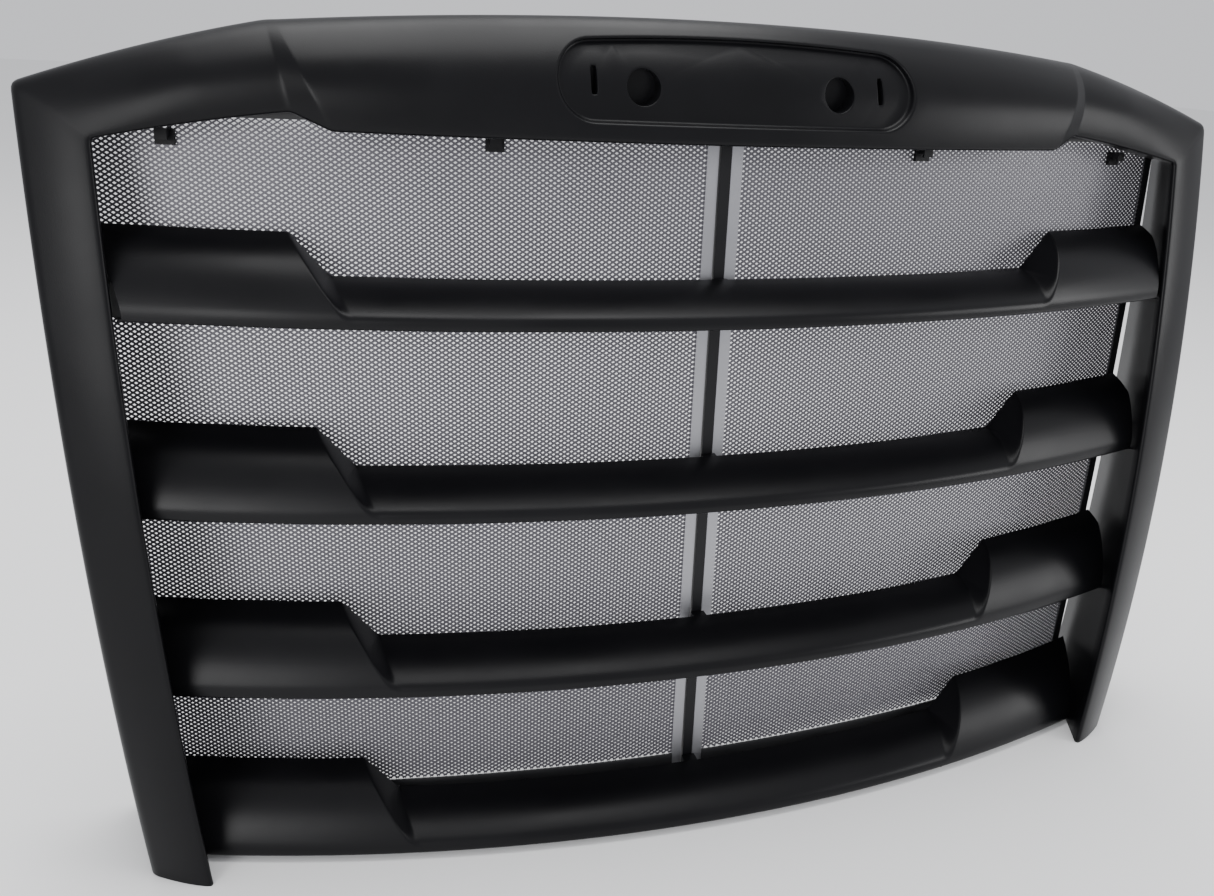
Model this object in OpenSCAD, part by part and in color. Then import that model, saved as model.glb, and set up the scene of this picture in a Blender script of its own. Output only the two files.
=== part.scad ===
// Front grille of a heavy road vehicle: a moulded surround, four bowed louvers, a centre rib
// and two framed insect screens. Millimetres, +Z up, front faces -Y, feet rest on Z = 0.

/* [Surround] */
// Half width at the top outer corners
corner_half_w = 580; // [560:5:600]
// Half width at the outside of the feet
foot_outer_half_w = 537; // [525:1:545]
// Half width of the opening at the feet
foot_inner_half_w = 481; // [474:1:486]
// Half width of the opening at its top corners
opening_half_w = 522.5; // [515:0.5:526]
// Height of the top outer corners
corner_h = 693; // [685:1:705]
// Height of the top edge at the middle
crown_h = 766.6; // [760:0.1:780]
// Height of the header's lower edge at the middle
header_low_h = 668; // [664:1:670]
// Height of the opening's top corners
opening_corner_h = 655; // [650:1:658]
// Wall thickness of the moulding
wall = 3; // [2.5:0.1:3.5]

/* [Louvers] */
// Number of louvers
louver_count = 4; // [4:1:4]
// Height of the lip of the lowest louver
lowest_lip_h = 6.5; // [5:0.5:9]
// Vertical pitch of the louvers
louver_pitch = 170; // [166:1:172]
// How far each louver stands behind the one below it
louver_setback = 13.2; // [11:0.1:15]
// Height of a louver's wing above its lip
wing_h = 67; // [60:1:70]
// Height of a louver's middle above its lip
scoop_h = 31; // [26:1:34]
// Depth of a louver's wing
wing_depth = 61.5; // [58:0.5:61.5]
// Depth of a louver's middle
scoop_depth = 61; // [58:0.5:61.5]
// Radius of the bow of the lips, seen from above
lip_bow_r = 1827; // [1780:1:1880]

/* [Screens] */
// Radius of the bow of the screens, seen from above
screen_bow_r = 1923; // [1900:1:1980]
// Lean of the screens back from upright, in degrees
screen_lean = 4.1; // [3.8:0.1:4.4]
// Thickness of the perforated sheet
sheet_t = 1.2; // [1:0.1:1.6]
// Thickness of the edge frame
frame_t = 5; // [4:0.5:5]
// Width of the folded strip beside the centre rib
hem_w = 11; // [9:1:12]

/* [Fixings] */
// Radius of the round emblem holes
emblem_hole_r = 14.5; // [12:0.5:15]
// Distance of each emblem hole from the middle
emblem_hole_x = 90.5; // [85:0.5:95]
// Radius of the hood bolt holes in the brackets
hood_bolt_r = 4.5; // [4:0.1:5]
// Distance of each hood bolt from the middle
hood_bolt_x = 430; // [425:1:435]
// Radius of the hole in each foot
foot_hole_r = 5; // [4:0.5:5.5]

/* [Hidden] */
$fn = 64;
fit_gap = 0.3;

// ---- plain helpers -------------------------------------------------------------------------
function lerp(a, b, t) = a + (b - a) * t;
// Straight run from a to b that swells by bulge at its middle
function swell(a, b, bulge, t) = lerp(a, b, t) + 4 * bulge * t * (1 - t);
// Depth of a circular bow of radius r at distance x from the middle
function bow(x, r) = r - sqrt(r * r - x * x);
// Shallow arc between two points of a section, standing off the chord by bulge
function arc_run(a, b, bulge, n) = [for (i = [0 : n])
    let (t = i / n, d = b - a, side = [-d[1], d[0]] / norm(d))
    a + d * t + side * 4 * bulge * t * (1 - t)];

// ---- screens' bowed and leaning surface -----------------------------------------------------
screen_top_y = 33;
screen_top_z = 660;
function screen_y(x, z) = screen_top_y - (screen_top_z - z) * tan(screen_lean)
    + bow(x, screen_bow_r);

// ---- surround: stations run from the right foot up, over the middle and mirrored down -------
// Each station is [outer edge point, inner edge point, crown power, inner wall's rear point,
// outer wall's rear point].
pillar_steps = 8;
wing_steps = 3;
header_steps = 6;
ramp_top_x = [388, 381];
ramp_low_x = [373, 342];
ramp_top_h = 748;
wing_low_h = 681;
header_bow_r = 1745;
header_front_y = -14;
crown_bow_r = 2050;
crown_y = 38.8;
crown_arch_r = 3984;
flare = 0.47;
top_flange = 38;
face_power_header = 2.8;
face_power_pillar = 1.35;
header_flange_gap = 6;
pillar_wall_past_screen = 8;

function crown_edge(x) = [x, crown_y + bow(x, crown_bow_r), crown_h - bow(x, crown_arch_r)];
function header_edge(x) = [x, header_front_y + bow(x, header_bow_r), header_low_h];

function pillar_outer(t) = [swell(foot_outer_half_w, corner_half_w, 5.5, t),
    swell(-28.3, 82.6, -21.3, t), corner_h * t];
function pillar_inner(t) = [swell(foot_inner_half_w, opening_half_w, 6.8, t),
    swell(-56.8, 54.4, -14.2, t), opening_corner_h * t];
function pillar_station(t) =
    let (o = pillar_outer(t), i = pillar_inner(t),
        rear = screen_y(550, i[2]) + pillar_wall_past_screen,
        inner_rear = [i[0] + flare * (rear - i[1]), rear, i[2]],
        outer_rear = [max(o[0], inner_rear[0] + 8), rear + 2, o[2]])
    [o, i, face_power_pillar, inner_rear, outer_rear];

wing_outer_end = [ramp_top_x[0], crown_edge(ramp_top_x[0])[1] + 1, ramp_top_h];
wing_inner_end = [ramp_low_x[0], 34, wing_low_h];
function header_rear(i, o, p) =
    [o, i, p, [i[0], screen_y(i[0], i[2]) - header_flange_gap, i[2]],
        [o[0], o[1] + top_flange, o[2] - 2]];
function wing_station(t) =
    let (a = pillar_outer(1), b = pillar_inner(1), d = wing_outer_end - a, e = wing_inner_end - b,
        o = a + d * t + [0, 0, 4 * 3.7 * t * (1 - t)],
        i = b + e * t + [0, 0, 4 * 1.7 * t * (1 - t)])
    header_rear(i, o, lerp(face_power_pillar, face_power_header, min(1, 1.6 * t)));
function header_station(t) = header_rear(header_edge(ramp_low_x[1] * (1 - t)),
    crown_edge(ramp_top_x[1] * (1 - t)), face_power_header);

right_stations = [
    for (k = [0 : pillar_steps]) pillar_station(k / pillar_steps),
    for (k = [1 : wing_steps]) wing_station(k / wing_steps),
    for (k = [0 : header_steps]) header_station(k / header_steps)];
function flip(p) = [-p[0], p[1], p[2]];
function flip_station(s) = [flip(s[0]), flip(s[1]), s[2], flip(s[3]), flip(s[4])];
stations = [
    each right_stations,
    for (k = [len(right_stations) - 2 : -1 : 0]) flip_station(right_stations[k])];

// Section of the surround at one station, from the outer wall's rear over the face to the
// inner wall's rear, moved in by the given inset.
edge_round = 8;
edge_bevel = 4;
face_points = 5;
function face_point(o, i, p, u) = [lerp(i[0], o[0], u), lerp(i[1], o[1], pow(u, p)),
    lerp(i[2], o[2], u)];
function section(s, inset) =
    let (span = [s[0][0] - s[1][0], 0, s[0][2] - s[1][2]], len_m = norm(span), e = span / len_m,
        back = [0, inset, 0], o = s[0] - e * inset + back, i = s[1] + e * inset + back,
        p = s[2], r = edge_round / len_m, c = edge_bevel / len_m,
        inner_rear = [s[3][0], s[3][1], s[3][2]] + e * inset,
        outer_rear = [s[4][0], s[4][1], s[4][2]] - e * inset)
    [outer_rear,
        o + [0, edge_round, 0],
        face_point(o, i, p, 1 - 0.3 * r) + [0, 0.3 * edge_round, 0],
        for (k = [face_points : -1 : 0]) face_point(o, i, p, lerp(c, 1 - r, k / face_points)),
        i + [0, edge_bevel, 0],
        inner_rear];

// Closed body through a row of loops, each with the same number of points
module tube(loops) {
    m = len(loops[0]);
    n = len(loops);
    polyhedron(
        points = [for (l = loops) each l],
        faces = [
            [for (k = [m - 1 : -1 : 0]) k],
            for (j = [0 : n - 2]) for (k = [0 : m - 1])
                let (a = j * m + k, b = j * m + (k + 1) % m)
                each [[a, b, b + m], [a, b + m, a + m]],
            [for (k = [0 : m - 1]) (n - 1) * m + k]]);
}
module shell_sweep(list, t) {
    tube([for (s = list) let (a = section(s, 0), b = section(s, t), n = len(b))
        [each a, for (k = [n - 1 : -1 : 0]) b[k]]]);
}

// Closed slab that follows the header's face between two depths, near the middle
module header_slab(front, back) {
    loops = [for (k = [-4 : 4])
        let (x = k * 52, o = crown_edge(x), i = header_edge(x), p = face_power_header) [
            for (j = [0 : 8]) face_point(o, i, p, j / 8) + [0, front, 0],
            for (j = [8 : -1 : 0]) face_point(o, i, p, j / 8) + [0, back, 0]]];
    tube(loops);
}

// ---- emblem pocket --------------------------------------------------------------------------
pocket_low_z = 684;
pocket_high_z = 752;
pocket_half_w = 164;
pocket_depth = 8;
pocket_end_r = 32;
pocket_crown_r = 1900;
emblem_hole_z = 712;
emblem_slot_x = 132.6;
emblem_slot = [5, 22];
collar_wall = 3;
collar_rear_y = 22;
// Where the blind cups behind the slots begin and end
slot_cup_y = [4, 20];

// Front view of the pocket: level bottom, round ends and an arched top
module pocket_outline(grow) {
    intersection() {
        translate([0, pocket_high_z - pocket_crown_r])
            circle(r = pocket_crown_r + grow, $fn = 256);
        union() {
            translate([-pocket_half_w + pocket_end_r, pocket_low_z - grow])
                square([2 * (pocket_half_w - pocket_end_r), 100]);
            for (side = [-1, 1])
                translate([side * (pocket_half_w - pocket_end_r), pocket_low_z + pocket_end_r])
                    circle(r = pocket_end_r + grow);
        }
    }
}
// Carries a front-view outline from depth y0 back to y1
module facing(y0, y1) {
    translate([0, y1, 0]) rotate([90, 0, 0]) linear_extrude(y1 - y0) children();
}
module along_y(x, z, y0, y1, r) {
    translate([x, y1, z]) rotate([90, 0, 0]) cylinder(r = r, h = y1 - y0);
}
// Upright block at an emblem slot, from depth y0 back to y1, larger all round by the given margin
module slot_block(side, y0, y1, grow) {
    facing(y0, y1) translate([side * emblem_slot_x, emblem_hole_z + 4])
        square(emblem_slot + 2 * [grow, grow], center = true);
}
module pocket_tub() {
    intersection() {
        facing(-40, 90) pocket_outline(wall);
        header_slab(0.5, pocket_depth + wall);
    }
    for (side = [-1, 1]) {
        along_y(side * emblem_hole_x, emblem_hole_z, 3, collar_rear_y, emblem_hole_r + collar_wall);
        slot_block(side, slot_cup_y[0], slot_cup_y[1], collar_wall);
    }
}
module pocket_hollow() {
    intersection() {
        facing(-60, 90) pocket_outline(0);
        header_slab(-20, pocket_depth);
    }
    for (side = [-1, 1]) {
        along_y(side * emblem_hole_x, emblem_hole_z, -40, 60, emblem_hole_r);
        slot_block(side, -40, slot_cup_y[1] - wall, 0);
    }
}

// ---- fixing points --------------------------------------------------------------------------
screw_r = 2;
pilot_r = 2.2;
bracket_y = 90;
bracket_t = 3;
bracket_size = [100, 20];
bracket_z = 704;
// Distance from the middle and starting depth of the two bosses behind each end of the header
bracket_bosses = [[395, 42], [465, 58]];
boss_r = 5;
rib_half_w = 5;
rib_front = -4;
rib_rear = 12;
rib_boss_z = 678;
rib_boss_front_y = -11;
foot_t = 3;
foot_recess = 4;
foot_rear_y = 68;
foot_hole_pos = [524, 0];
foot_collar_r = 8;
foot_collar_rise = 0.4;
function rib_face_y(z) = screen_y(0, z) + rib_front;
function rib_rear_y(z) = screen_y(0, z) + rib_rear;

module bosses() {
    for (side = [-1, 1], b = bracket_bosses)
        along_y(side * b[0], bracket_z, b[1], bracket_y, boss_r);
    along_y(0, rib_boss_z, rib_boss_front_y, rib_face_y(rib_boss_z) - 2 * fit_gap, boss_r);
}
module boss_pilots() {
    for (side = [-1, 1], b = bracket_bosses)
        along_y(side * b[0], bracket_z, bracket_y - 12, bracket_y + 1, pilot_r);
    along_y(0, rib_boss_z, rib_face_y(rib_boss_z) - 14, rib_face_y(rib_boss_z), pilot_r);
}
// Floor that closes the foot of a pillar, with a collar that reaches down to the feet's level
module foot(side) {
    loop = [for (p = section(pillar_station(0), wall / 2)) [p[0], min(p[1], foot_rear_y)]];
    difference() {
        union() {
            translate([0, 0, foot_recess]) linear_extrude(foot_t)
                polygon([for (p = loop) [side * p[0], p[1]]]);
            translate([side * foot_hole_pos[0], foot_hole_pos[1], foot_collar_rise])
                cylinder(r = foot_collar_r, h = foot_recess + foot_t / 2);
        }
        translate([side * foot_hole_pos[0], foot_hole_pos[1], -1])
            cylinder(r = foot_hole_r, h = foot_recess + foot_t + 2);
    }
}

module surround() {
    color("#1b1b1d") difference() {
        union() {
            shell_sweep(stations, wall);
            pocket_tub();
            bosses();
            foot(-1);
            foot(1);
        }
        pocket_hollow();
        boss_pilots();
        for (k = [1 : louver_count], side = [-1, 1]) louver_screw_hole(k, side, pilot_r + 0.3);
    }
}

// ---- louvers --------------------------------------------------------------------------------
top_louver_y = -50;
bow_half_angle = 19;
lip_h = 10;
lip_flange = 14;
wing_bulge = 10;
scoop_bulge = 5;
top_wing_x = 378;
wing_taper = 14;
wing_slant = 44;
wall_clearance = 2.5;
// Most that a louver's end reaches from the middle, short of the screens' edge frames
louver_reach = 535;
rib_count = 4;
rib_pitch = 118;
rib_t = 2;
lug_half_w = 7;
lug_h = 13;
function lip_z(k) = lowest_lip_h + (louver_count - k) * louver_pitch;
function front_y(k) = top_louver_y - louver_setback * (k - 1);
function wing_x(k) = top_wing_x - wing_taper * (k - 1);

// Sections hold [depth behind the lip, height above it]
function body_section(depth, h, bulge) = [[0, 0], [0, lip_h],
    each arc_run([0, lip_h], [depth, h], bulge, 8), [depth, 0]];
function hollow_section(depth, h, bulge) = [[lip_flange, -1], [lip_flange, wall], [wall, wall],
    each arc_run([wall, lip_h], [depth + 1, h - wall], bulge, 8), [depth + 1, -1]];

// Carries a section along the bow of louver k
module along_bow(k, points) {
    translate([0, front_y(k) + lip_bow_r, lip_z(k)]) rotate([0, 0, 270 - bow_half_angle])
        rotate_extrude(angle = 2 * bow_half_angle, $fn = 360)
            polygon([for (p = points) [lip_bow_r - p[0], p[1]]]);
}
// Space between the pillars' flared inner walls, seen from above
module between_pillars(k, gap) {
    function wall_x(z, y) = let (i = pillar_inner(z / opening_corner_h)) i[0] + flare * (y - i[1]);
    function edge_x(y) = min(wall_x(lip_z(k), y), wall_x(lip_z(k) + wing_h, y),
        louver_reach + wall_clearance) - gap;
    translate([0, 0, lip_z(k) - 5]) linear_extrude(wing_h + 10)
        polygon([
            for (y = [-150 : 15 : 150]) [edge_x(y), y],
            for (y = [150 : -15 : -150]) [-edge_x(y), y]]);
}
// Space outboard of the slanted inner ends of the wings
module wing_zone(k, grow) {
    x = wing_x(k) + grow;
    z = lip_z(k);
    rise = wing_slant / wing_h;
    facing(-160, 160) for (side = [-1, 1])
        polygon([[side * (x - wing_slant - 10 * rise), z - 10], [side * (x + 10 * rise), z + wing_h + 10],
            [side * 700, z + wing_h + 10], [side * 700, z - 10]]);
}
module louver_body(k) {
    along_bow(k, body_section(scoop_depth, scoop_h, scoop_bulge));
    intersection() {
        along_bow(k, body_section(wing_depth, wing_h, wing_bulge));
        wing_zone(k, 0);
    }
}
module louver_hollow(k) {
    along_bow(k, hollow_section(scoop_depth, scoop_h, scoop_bulge));
    intersection() {
        along_bow(k, hollow_section(wing_depth, wing_h, wing_bulge));
        wing_zone(k, wall);
    }
}
module louver(k) {
    lug_z = lip_z(k) + scoop_h - lug_h - 1;
    color("#1d1d1f") difference() {
        union() {
            difference() {
                intersection() {
                    louver_body(k);
                    between_pillars(k, wall_clearance);
                }
                intersection() {
                    louver_hollow(k);
                    between_pillars(k, wall_clearance + wall);
                }
            }
            intersection() {
                louver_body(k);
                between_pillars(k, wall_clearance);
                for (j = [-rib_count : rib_count - 1])
                    translate([(j + 0.5) * rib_pitch, 0, lip_z(k) + wing_h / 2])
                        cube([rib_t, 400, 2 * wing_h], center = true);
            }
            translate([-lug_half_w, front_y(k) + scoop_depth - 10, lug_z])
                cube([2 * lug_half_w, rib_face_y(lug_z) - 2 * fit_gap - front_y(k) - scoop_depth + 10, lug_h]);
        }
        along_y(0, louver_screw_z(k), rib_face_y(lug_z) - 12, rib_face_y(lug_z) + 5, pilot_r);
        for (side = [-1, 1]) louver_screw_hole(k, side, pilot_r);
    }
}
module louver_1() { louver(1); }
module louver_2() { louver(2); }
module louver_3() { louver(3); }
module louver_4() { louver(4); }
function louver_screw_z(k) = lip_z(k) + scoop_h - 1 - lug_h / 2;

// ---- centre rib and its screws --------------------------------------------------------------
rib_top = 28;
rib_low = -638;
// Frame of the screens: Y behind the sheet's middle, Z up along its lean from screen_top_z
module leaning() {
    translate([0, screen_top_y, screen_top_z]) rotate([-screen_lean, 0, 0]) children();
}
rib_screw_heights = [rib_boss_z, for (k = [1 : louver_count]) louver_screw_z(k)];
module centre_rib() {
    color("#18181a") difference() {
        leaning() translate([-rib_half_w, rib_front, rib_low])
            cube([2 * rib_half_w, rib_rear - rib_front, rib_top - rib_low]);
        for (z = rib_screw_heights) along_y(0, z, -60, 80, pilot_r + 0.2);
    }
}
module rib_screws() {
    color("#2c2c30") for (z = rib_screw_heights) {
        seat = rib_rear_y(z) + 2 * fit_gap;
        along_y(0, z, rib_face_y(z) - 9, seat + 0.1, screw_r);
        difference() {
            along_y(0, z, seat, seat + 3, 4);
            along_y(0, z, seat + 1.5, seat + 4, 1.6);
        }
    }
}

// ---- screws through the pillars into the louvers' ends --------------------------------------
louver_screw_run = 52;
louver_screw_up = 20;
module at_pillar_wall(k, side) {
    i = pillar_inner((lip_z(k) + louver_screw_up) / opening_corner_h);
    mirror([side < 0 ? 1 : 0, 0, 0])
        translate([i[0] + flare * louver_screw_run, i[1] + louver_screw_run, lip_z(k) + louver_screw_up])
            rotate([0, 0, -atan(flare)]) rotate([0, 90, 0]) children();
}
module louver_screw_hole(k, side, r) {
    at_pillar_wall(k, side) translate([0, 0, -14]) cylinder(r = r, h = 22);
}
module louver_screws(side) {
    seat = wall * cos(atan(flare)) + fit_gap;
    color("#2c2c30") for (k = [1 : louver_count]) at_pillar_wall(k, side) {
        translate([0, 0, -11]) cylinder(r = screw_r, h = 11 + seat + 0.1);
        translate([0, 0, seat]) difference() {
            cylinder(r = 4.5, h = 3);
            translate([0, 0, 1.5]) cylinder(r = 1.6, h = 3);
        }
    }
}
module louver_screws_left() { louver_screws(-1); }
module louver_screws_right() { louver_screws(1); }

// ---- hood brackets --------------------------------------------------------------------------
module mount_bracket(side) {
    color("#5a5c60") difference() {
        translate([side * hood_bolt_x - bracket_size[0] / 2, bracket_y, bracket_z - bracket_size[1] / 2])
            cube([bracket_size[0], bracket_t, bracket_size[1]]);
        along_y(side * hood_bolt_x, bracket_z, bracket_y - 1, bracket_y + bracket_t + 1, hood_bolt_r);
        for (b = bracket_bosses)
            along_y(side * b[0], bracket_z, bracket_y - 1, bracket_y + bracket_t + 1, pilot_r + 0.4);
    }
}
module mount_bracket_left() { mount_bracket(-1); }
module mount_bracket_right() { mount_bracket(1); }
module bracket_screws() {
    seat = bracket_y + bracket_t;
    color("#3a3a3e") for (side = [-1, 1], b = bracket_bosses) {
        along_y(side * b[0], bracket_z, bracket_y - 10, seat + 0.1, screw_r);
        difference() {
            along_y(side * b[0], bracket_z, seat, seat + 2.5, 4.5);
            along_y(side * b[0], bracket_z, seat + 1, seat + 3, 1.6);
        }
    }
}

// ---- insect screens -------------------------------------------------------------------------
screen_low = -638;
screen_high = 28;
screen_inner_x = 6.3;
screen_outer_low = 533;
screen_outer_top = 543;
screen_outer_bulge = 9;
edge_strip_w = 38;
low_strip_h = 14;
top_strip_h = 12;
butt_gap = 0.15;
// Where the upper outer corner is notched: distance from the middle, and height on the screen
notch = [490, -6];
notch_rim = 9;
function screen_outer_x(t) = swell(screen_outer_low, screen_outer_top, screen_outer_bulge, t);

// Front view of the right screen between two heights, from x0 to the curved outer edge less cut
module screen_outline(x0, cut, z0, z1) {
    function at(z) = (z - screen_low) / (screen_high - screen_low);
    polygon([[x0, z0], for (k = [0 : 8]) let (z = lerp(z0, z1, k / 8)) [screen_outer_x(at(z)) - cut, z],
        [x0, z1]]);
}
// Upper outer corner of a screen, cut away clear of the surround, grown by the given rim
module corner_notch(rim) {
    translate([notch[0] - rim, notch[1] - rim]) square(100);
}
// Bowed layer of the leaning screen surface, of the given thickness
module bowed_layer(t) {
    translate([0, screen_bow_r, -700]) rotate([0, 0, 270 - bow_half_angle])
        rotate_extrude(angle = 2 * bow_half_angle, $fn = 360)
            translate([screen_bow_r - t / 2, 0]) square([t, 800]);
}
module screen_part(side, t) {
    mirror([side < 0 ? 1 : 0, 0, 0]) leaning() intersection() {
        bowed_layer(t);
        facing(-40, 140) children();
    }
}
mesh_x0 = screen_inner_x + hem_w;
mesh_z0 = screen_low + low_strip_h;
mesh_z1 = screen_high - top_strip_h;
module screen_mesh(side) {
    color("#6f7176") screen_part(side, sheet_t) difference() {
        screen_outline(mesh_x0 + butt_gap, edge_strip_w + butt_gap, mesh_z0 + butt_gap, mesh_z1 - butt_gap);
        corner_notch(notch_rim + butt_gap);
    }
}
module screen_frame(side) {
    color("#202022") screen_part(side, frame_t) difference() {
        screen_outline(mesh_x0 + butt_gap, 0, screen_low, screen_high);
        corner_notch(0);
        difference() {
            screen_outline(0, edge_strip_w, mesh_z0, mesh_z1);
            corner_notch(notch_rim);
        }
    }
}
module screen_hem(side) {
    color("#8c8e92") screen_part(side, frame_t - 1)
        translate([screen_inner_x, screen_low]) square([hem_w, screen_high - screen_low]);
}
module screen_mesh_left() { screen_mesh(-1); }
module screen_frame_left() { screen_frame(-1); }
module screen_hem_left() { screen_hem(-1); }
module screen_mesh_right() { screen_mesh(1); }
module screen_frame_right() { screen_frame(1); }
module screen_hem_right() { screen_hem(1); }

// ---- clips ----------------------------------------------------------------------------------
clip_w = 16;
clip_inner_x = 207;
clip_outer_x = 471;
clip_low_inner_x = 150;
clip_low_outer_x = 430;
// Places a clip against the front of the screen at distance x and height z
module on_screen(side, x, z) {
    mirror([side < 0 ? 1 : 0, 0, 0]) translate([x, screen_y(x, z), z])
        rotate([0, 0, asin(x / screen_bow_r)]) rotate([-screen_lean, 0, 0]) children();
}
// Upright plate with a hooked nose that reaches forward under the header's lower edge
module top_clip(side, x, top_z) {
    color("#161618") on_screen(side, x, top_z) {
        translate([-clip_w / 2, -4.5, -15]) cube([clip_w, 3.5, 13]);
        translate([-clip_w / 2 + 3, -13, -8]) cube([clip_w - 6, 9, 6]);
        translate([-clip_w / 2 + 3, -13, -11]) cube([clip_w - 6, 2.5, 4]);
    }
}
module low_clip(side, x) {
    color("#161618") on_screen(side, x, screen_top_z + screen_low * cos(screen_lean)
        - bow(x, screen_bow_r) * sin(screen_lean)) {
        translate([-clip_w / 2, -frame_t / 2, -12]) cube([clip_w, frame_t, 11]);
        translate([-clip_w / 2, frame_t / 2 - 0.1, -12]) cube([clip_w, 4, 4]);
    }
}
outer_clip_z = 663;
module clip_top_inner_left() { top_clip(-1, clip_inner_x, header_low_h); }
module clip_top_inner_right() { top_clip(1, clip_inner_x, header_low_h); }
module clip_top_outer_left() { top_clip(-1, clip_outer_x, outer_clip_z); }
module clip_top_outer_right() { top_clip(1, clip_outer_x, outer_clip_z); }
module clip_low_inner_left() { low_clip(-1, clip_low_inner_x); }
module clip_low_inner_right() { low_clip(1, clip_low_inner_x); }
module clip_low_outer_left() { low_clip(-1, clip_low_outer_x); }
module clip_low_outer_right() { low_clip(1, clip_low_outer_x); }

surround();
louver_1();
louver_2();
louver_3();
louver_4();
centre_rib();
rib_screws();
louver_screws_left();
louver_screws_right();
mount_bracket_left();
mount_bracket_right();
bracket_screws();
screen_mesh_left();
screen_frame_left();
screen_hem_left();
screen_mesh_right();
screen_frame_right();
screen_hem_right();
clip_top_inner_left();
clip_top_outer_left();
clip_low_inner_left();
clip_low_outer_left();
clip_top_inner_right();
clip_top_outer_right();
clip_low_inner_right();
clip_low_outer_right();
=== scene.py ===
# %% [markdown]
# # A moulded truck grille, one surface at a time
# The CAD part gives every size and place. This lesson puts finished surfaces around it: a moulded
# surround, four bowed louvers and two perforated screens. Everything is in metres, in the CAD's
# own frame: X to the right, Y from the front to the back, Z up.

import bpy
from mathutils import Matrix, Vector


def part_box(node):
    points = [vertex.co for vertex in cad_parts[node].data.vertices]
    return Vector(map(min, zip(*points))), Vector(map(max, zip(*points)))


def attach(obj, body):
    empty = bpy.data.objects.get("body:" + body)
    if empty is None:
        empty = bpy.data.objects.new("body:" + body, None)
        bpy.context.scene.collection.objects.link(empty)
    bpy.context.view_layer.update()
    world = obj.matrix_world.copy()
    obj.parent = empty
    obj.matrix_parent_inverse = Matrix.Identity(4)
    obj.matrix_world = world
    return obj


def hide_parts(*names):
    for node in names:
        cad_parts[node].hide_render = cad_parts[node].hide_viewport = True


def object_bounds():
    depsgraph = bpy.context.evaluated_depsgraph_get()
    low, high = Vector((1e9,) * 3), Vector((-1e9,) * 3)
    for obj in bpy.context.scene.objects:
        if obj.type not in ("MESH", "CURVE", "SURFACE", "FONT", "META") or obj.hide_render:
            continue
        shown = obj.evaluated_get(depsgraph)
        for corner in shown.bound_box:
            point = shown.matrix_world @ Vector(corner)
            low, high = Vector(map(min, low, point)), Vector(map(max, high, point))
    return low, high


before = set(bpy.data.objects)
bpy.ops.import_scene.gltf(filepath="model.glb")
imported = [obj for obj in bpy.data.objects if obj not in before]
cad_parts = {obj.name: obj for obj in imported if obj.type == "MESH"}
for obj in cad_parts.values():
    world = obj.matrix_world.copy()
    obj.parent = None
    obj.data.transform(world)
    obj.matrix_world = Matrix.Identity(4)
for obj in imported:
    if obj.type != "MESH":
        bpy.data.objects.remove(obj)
cad_low, cad_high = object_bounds()
print("CAD box", tuple(round(v, 4) for v in cad_low), tuple(round(v, 4) for v in cad_high))

# %% The libraries that the rest of the lesson uses
import math

import bpy
import numpy as np
from mathutils import Matrix, Vector

# %% [markdown]
# ## Arrays into meshes
# A piece could be drawn with Blender's own tools, but a grille is made of a few long curved
# surfaces, and each of them is a formula of two parameters. So every shape here is a grid of
# points worked out in one go with numpy, and four small helpers turn grids into a mesh: one
# joins neighbouring points with quads, one welds patches that share an edge, one gives a sheet
# its wall, and one hands the result to Blender.

# %% Grids, welding and walls
def quads_of(rows, cols):
    """Quads between neighbours in a grid of rows x cols points, counted row by row."""
    corner = (np.arange(rows - 1)[:, None] * cols + np.arange(cols - 1)).reshape(-1, 1)
    return corner + np.array([0, 1, cols + 1, cols])


def patch(grid, turned=False):
    """A patch from a (rows, cols, 3) grid: its points, and its quads, turned round if asked."""
    quads = quads_of(*grid.shape[:2])
    return grid.reshape(-1, 3), quads[:, ::-1] if turned else quads


def weld(patches, grain=2e-6):
    """All patches as one: points that agree to within the grain become one point, and quads
    that shrink to a line are dropped."""
    points = np.vstack([p for p, _ in patches])
    starts = np.cumsum([0] + [len(p) for p, _ in patches[:-1]])
    quads = np.vstack([q + s for (_, q), s in zip(patches, starts)])
    _, first, place = np.unique(np.round(points / grain) + 0.0, axis=0, return_index=True,
                                return_inverse=True)
    quads = place.reshape(-1)[quads]
    twins = (quads == np.roll(quads, 1, axis=1)).sum(axis=1)
    crossed = (quads[:, 0] == quads[:, 2]) | (quads[:, 1] == quads[:, 3])
    return points[first], quads[(twins < 2) & ~crossed]


def point_normals(points, quads):
    """Each point's normal: the sum of the normals of the quads around it, made one long."""
    across = points[quads[:, 2]] - points[quads[:, 0]]
    along = points[quads[:, 3]] - points[quads[:, 1]]
    face = np.cross(across, along)
    face /= np.linalg.norm(face, axis=1)[:, None] + 1e-15
    total = np.zeros_like(points)
    for corner in range(4):
        np.add.at(total, quads[:, corner], face)
    return total / (np.linalg.norm(total, axis=1)[:, None] + 1e-15)


def thicken(sheet, wall):
    """Gives a sheet its wall: every point is repeated one wall behind it along its normal, the
    copy's quads are turned round, and a strip joins the two along every open edge."""
    points, quads = sheet
    count = len(points)
    back = points - point_normals(points, quads) * wall
    edges = np.stack([quads, np.roll(quads, -1, axis=1)], axis=-1).reshape(-1, 2)
    edges = edges[edges[:, 0] != edges[:, 1]]
    _, place, times = np.unique(np.sort(edges, axis=1), axis=0, return_inverse=True,
                                return_counts=True)
    rim = edges[times[place.reshape(-1)] == 1]
    strip = np.stack([rim[:, 1], rim[:, 0], rim[:, 0] + count, rim[:, 1] + count], axis=-1)
    return np.vstack([points, back]), np.vstack([quads, quads[:, ::-1] + count, strip])


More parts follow.
